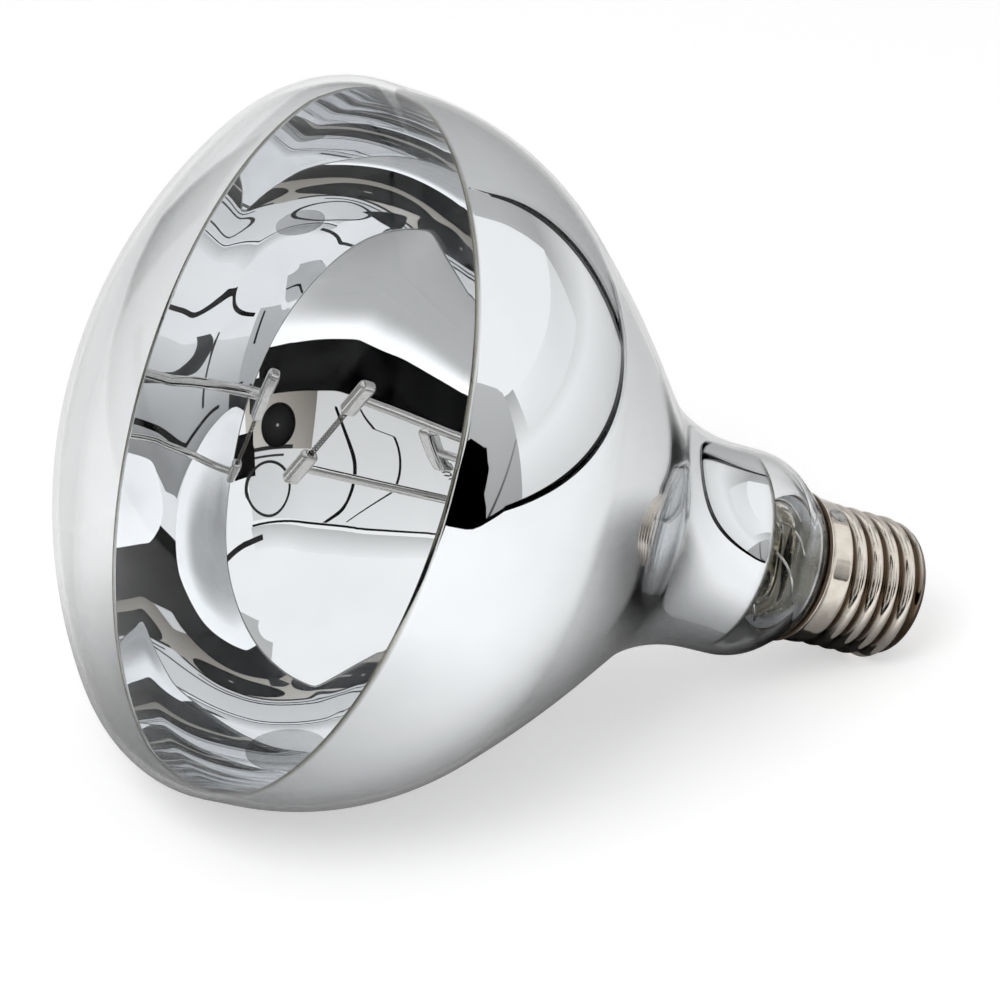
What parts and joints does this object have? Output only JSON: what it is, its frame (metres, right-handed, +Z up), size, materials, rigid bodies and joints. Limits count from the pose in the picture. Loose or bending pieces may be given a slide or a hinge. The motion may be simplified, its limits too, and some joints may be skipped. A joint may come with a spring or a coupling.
{
  "type": "infrared heat lamp bulb",
  "caption": "Reflector heat lamp bulb with a clear domed face, a mirrored bowl, a coiled filament between two leads on a glass stem and a screw cap, lying on its side.",
  "frame": {"origin": "on the surface that the lamp lies on, below the middle of its box", "axes": "+X from the face towards the cap, level; +Z up; the lamp's own axis leans down towards the cap in the X-Z plane"},
  "size_m": [0.1608, 0.1252, 0.1224],
  "materials": {
    "clear_glass": "clear blown glass",
    "mirror": "vapour-deposited aluminium film",
    "stem_glass": "clear pressed glass",
    "tungsten": "dull grey coiled wire",
    "nickel_wire": "bright drawn nickel",
    "shield_metal": "rolled sheet",
    "nickel_shell": "bright nickel plate on drawn sheet",
    "cement": "baked dark cement",
    "black_glass": "glossy black glass",
    "brass": "stamped",
    "solder": "solder"
  },
  "bodies": {
    "root": {"cap_cement": "cement", "centre_contact": "brass", "centre_lead": "nickel_wire", "centre_solder": "solder", "exhaust_tube": "stem_glass", "filament": "tungsten", "glass_envelope": "clear_glass", "heat_shield": "shield_metal", "insulator": "black_glass", "lead_wire_back": "nickel_wire", "lead_wire_front": "nickel_wire", "reflector_coating": "mirror", "screw_shell": "nickel_shell", "side_lead": "nickel_wire", "side_solder": "solder", "stem_flare": "stem_glass"}
  },
  "joints": []
}
